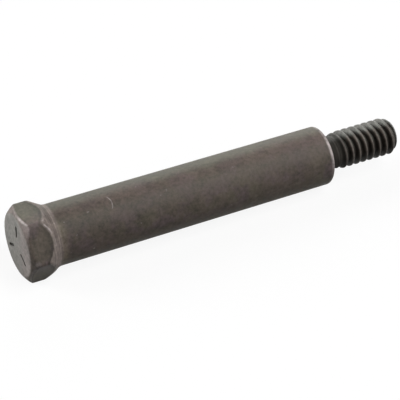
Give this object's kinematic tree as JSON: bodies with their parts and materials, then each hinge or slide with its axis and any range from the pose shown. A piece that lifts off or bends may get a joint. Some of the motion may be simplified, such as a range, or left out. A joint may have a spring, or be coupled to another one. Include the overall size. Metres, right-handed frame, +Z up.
{
  "type": "shoulder bolt",
  "caption": "Hex head shoulder bolt of dark steel: a head with a coned underside, a long plain shoulder for a part to turn on, and a short threaded end.",
  "frame": {"origin": "centre of the shoulder's end face, the seat, on the bolt's axis", "axes": "+X along the axis towards the threaded tip, +Z up with a flat of the head facing down, as the bolt lies"},
  "size_m": [0.0662, 0.0124, 0.0108],
  "materials": {
    "dark_steel": "dark oxide over turned steel, satin"
  },
  "bodies": {
    "root": {"shoulder_bolt": "dark_steel"}
  },
  "joints": []
}
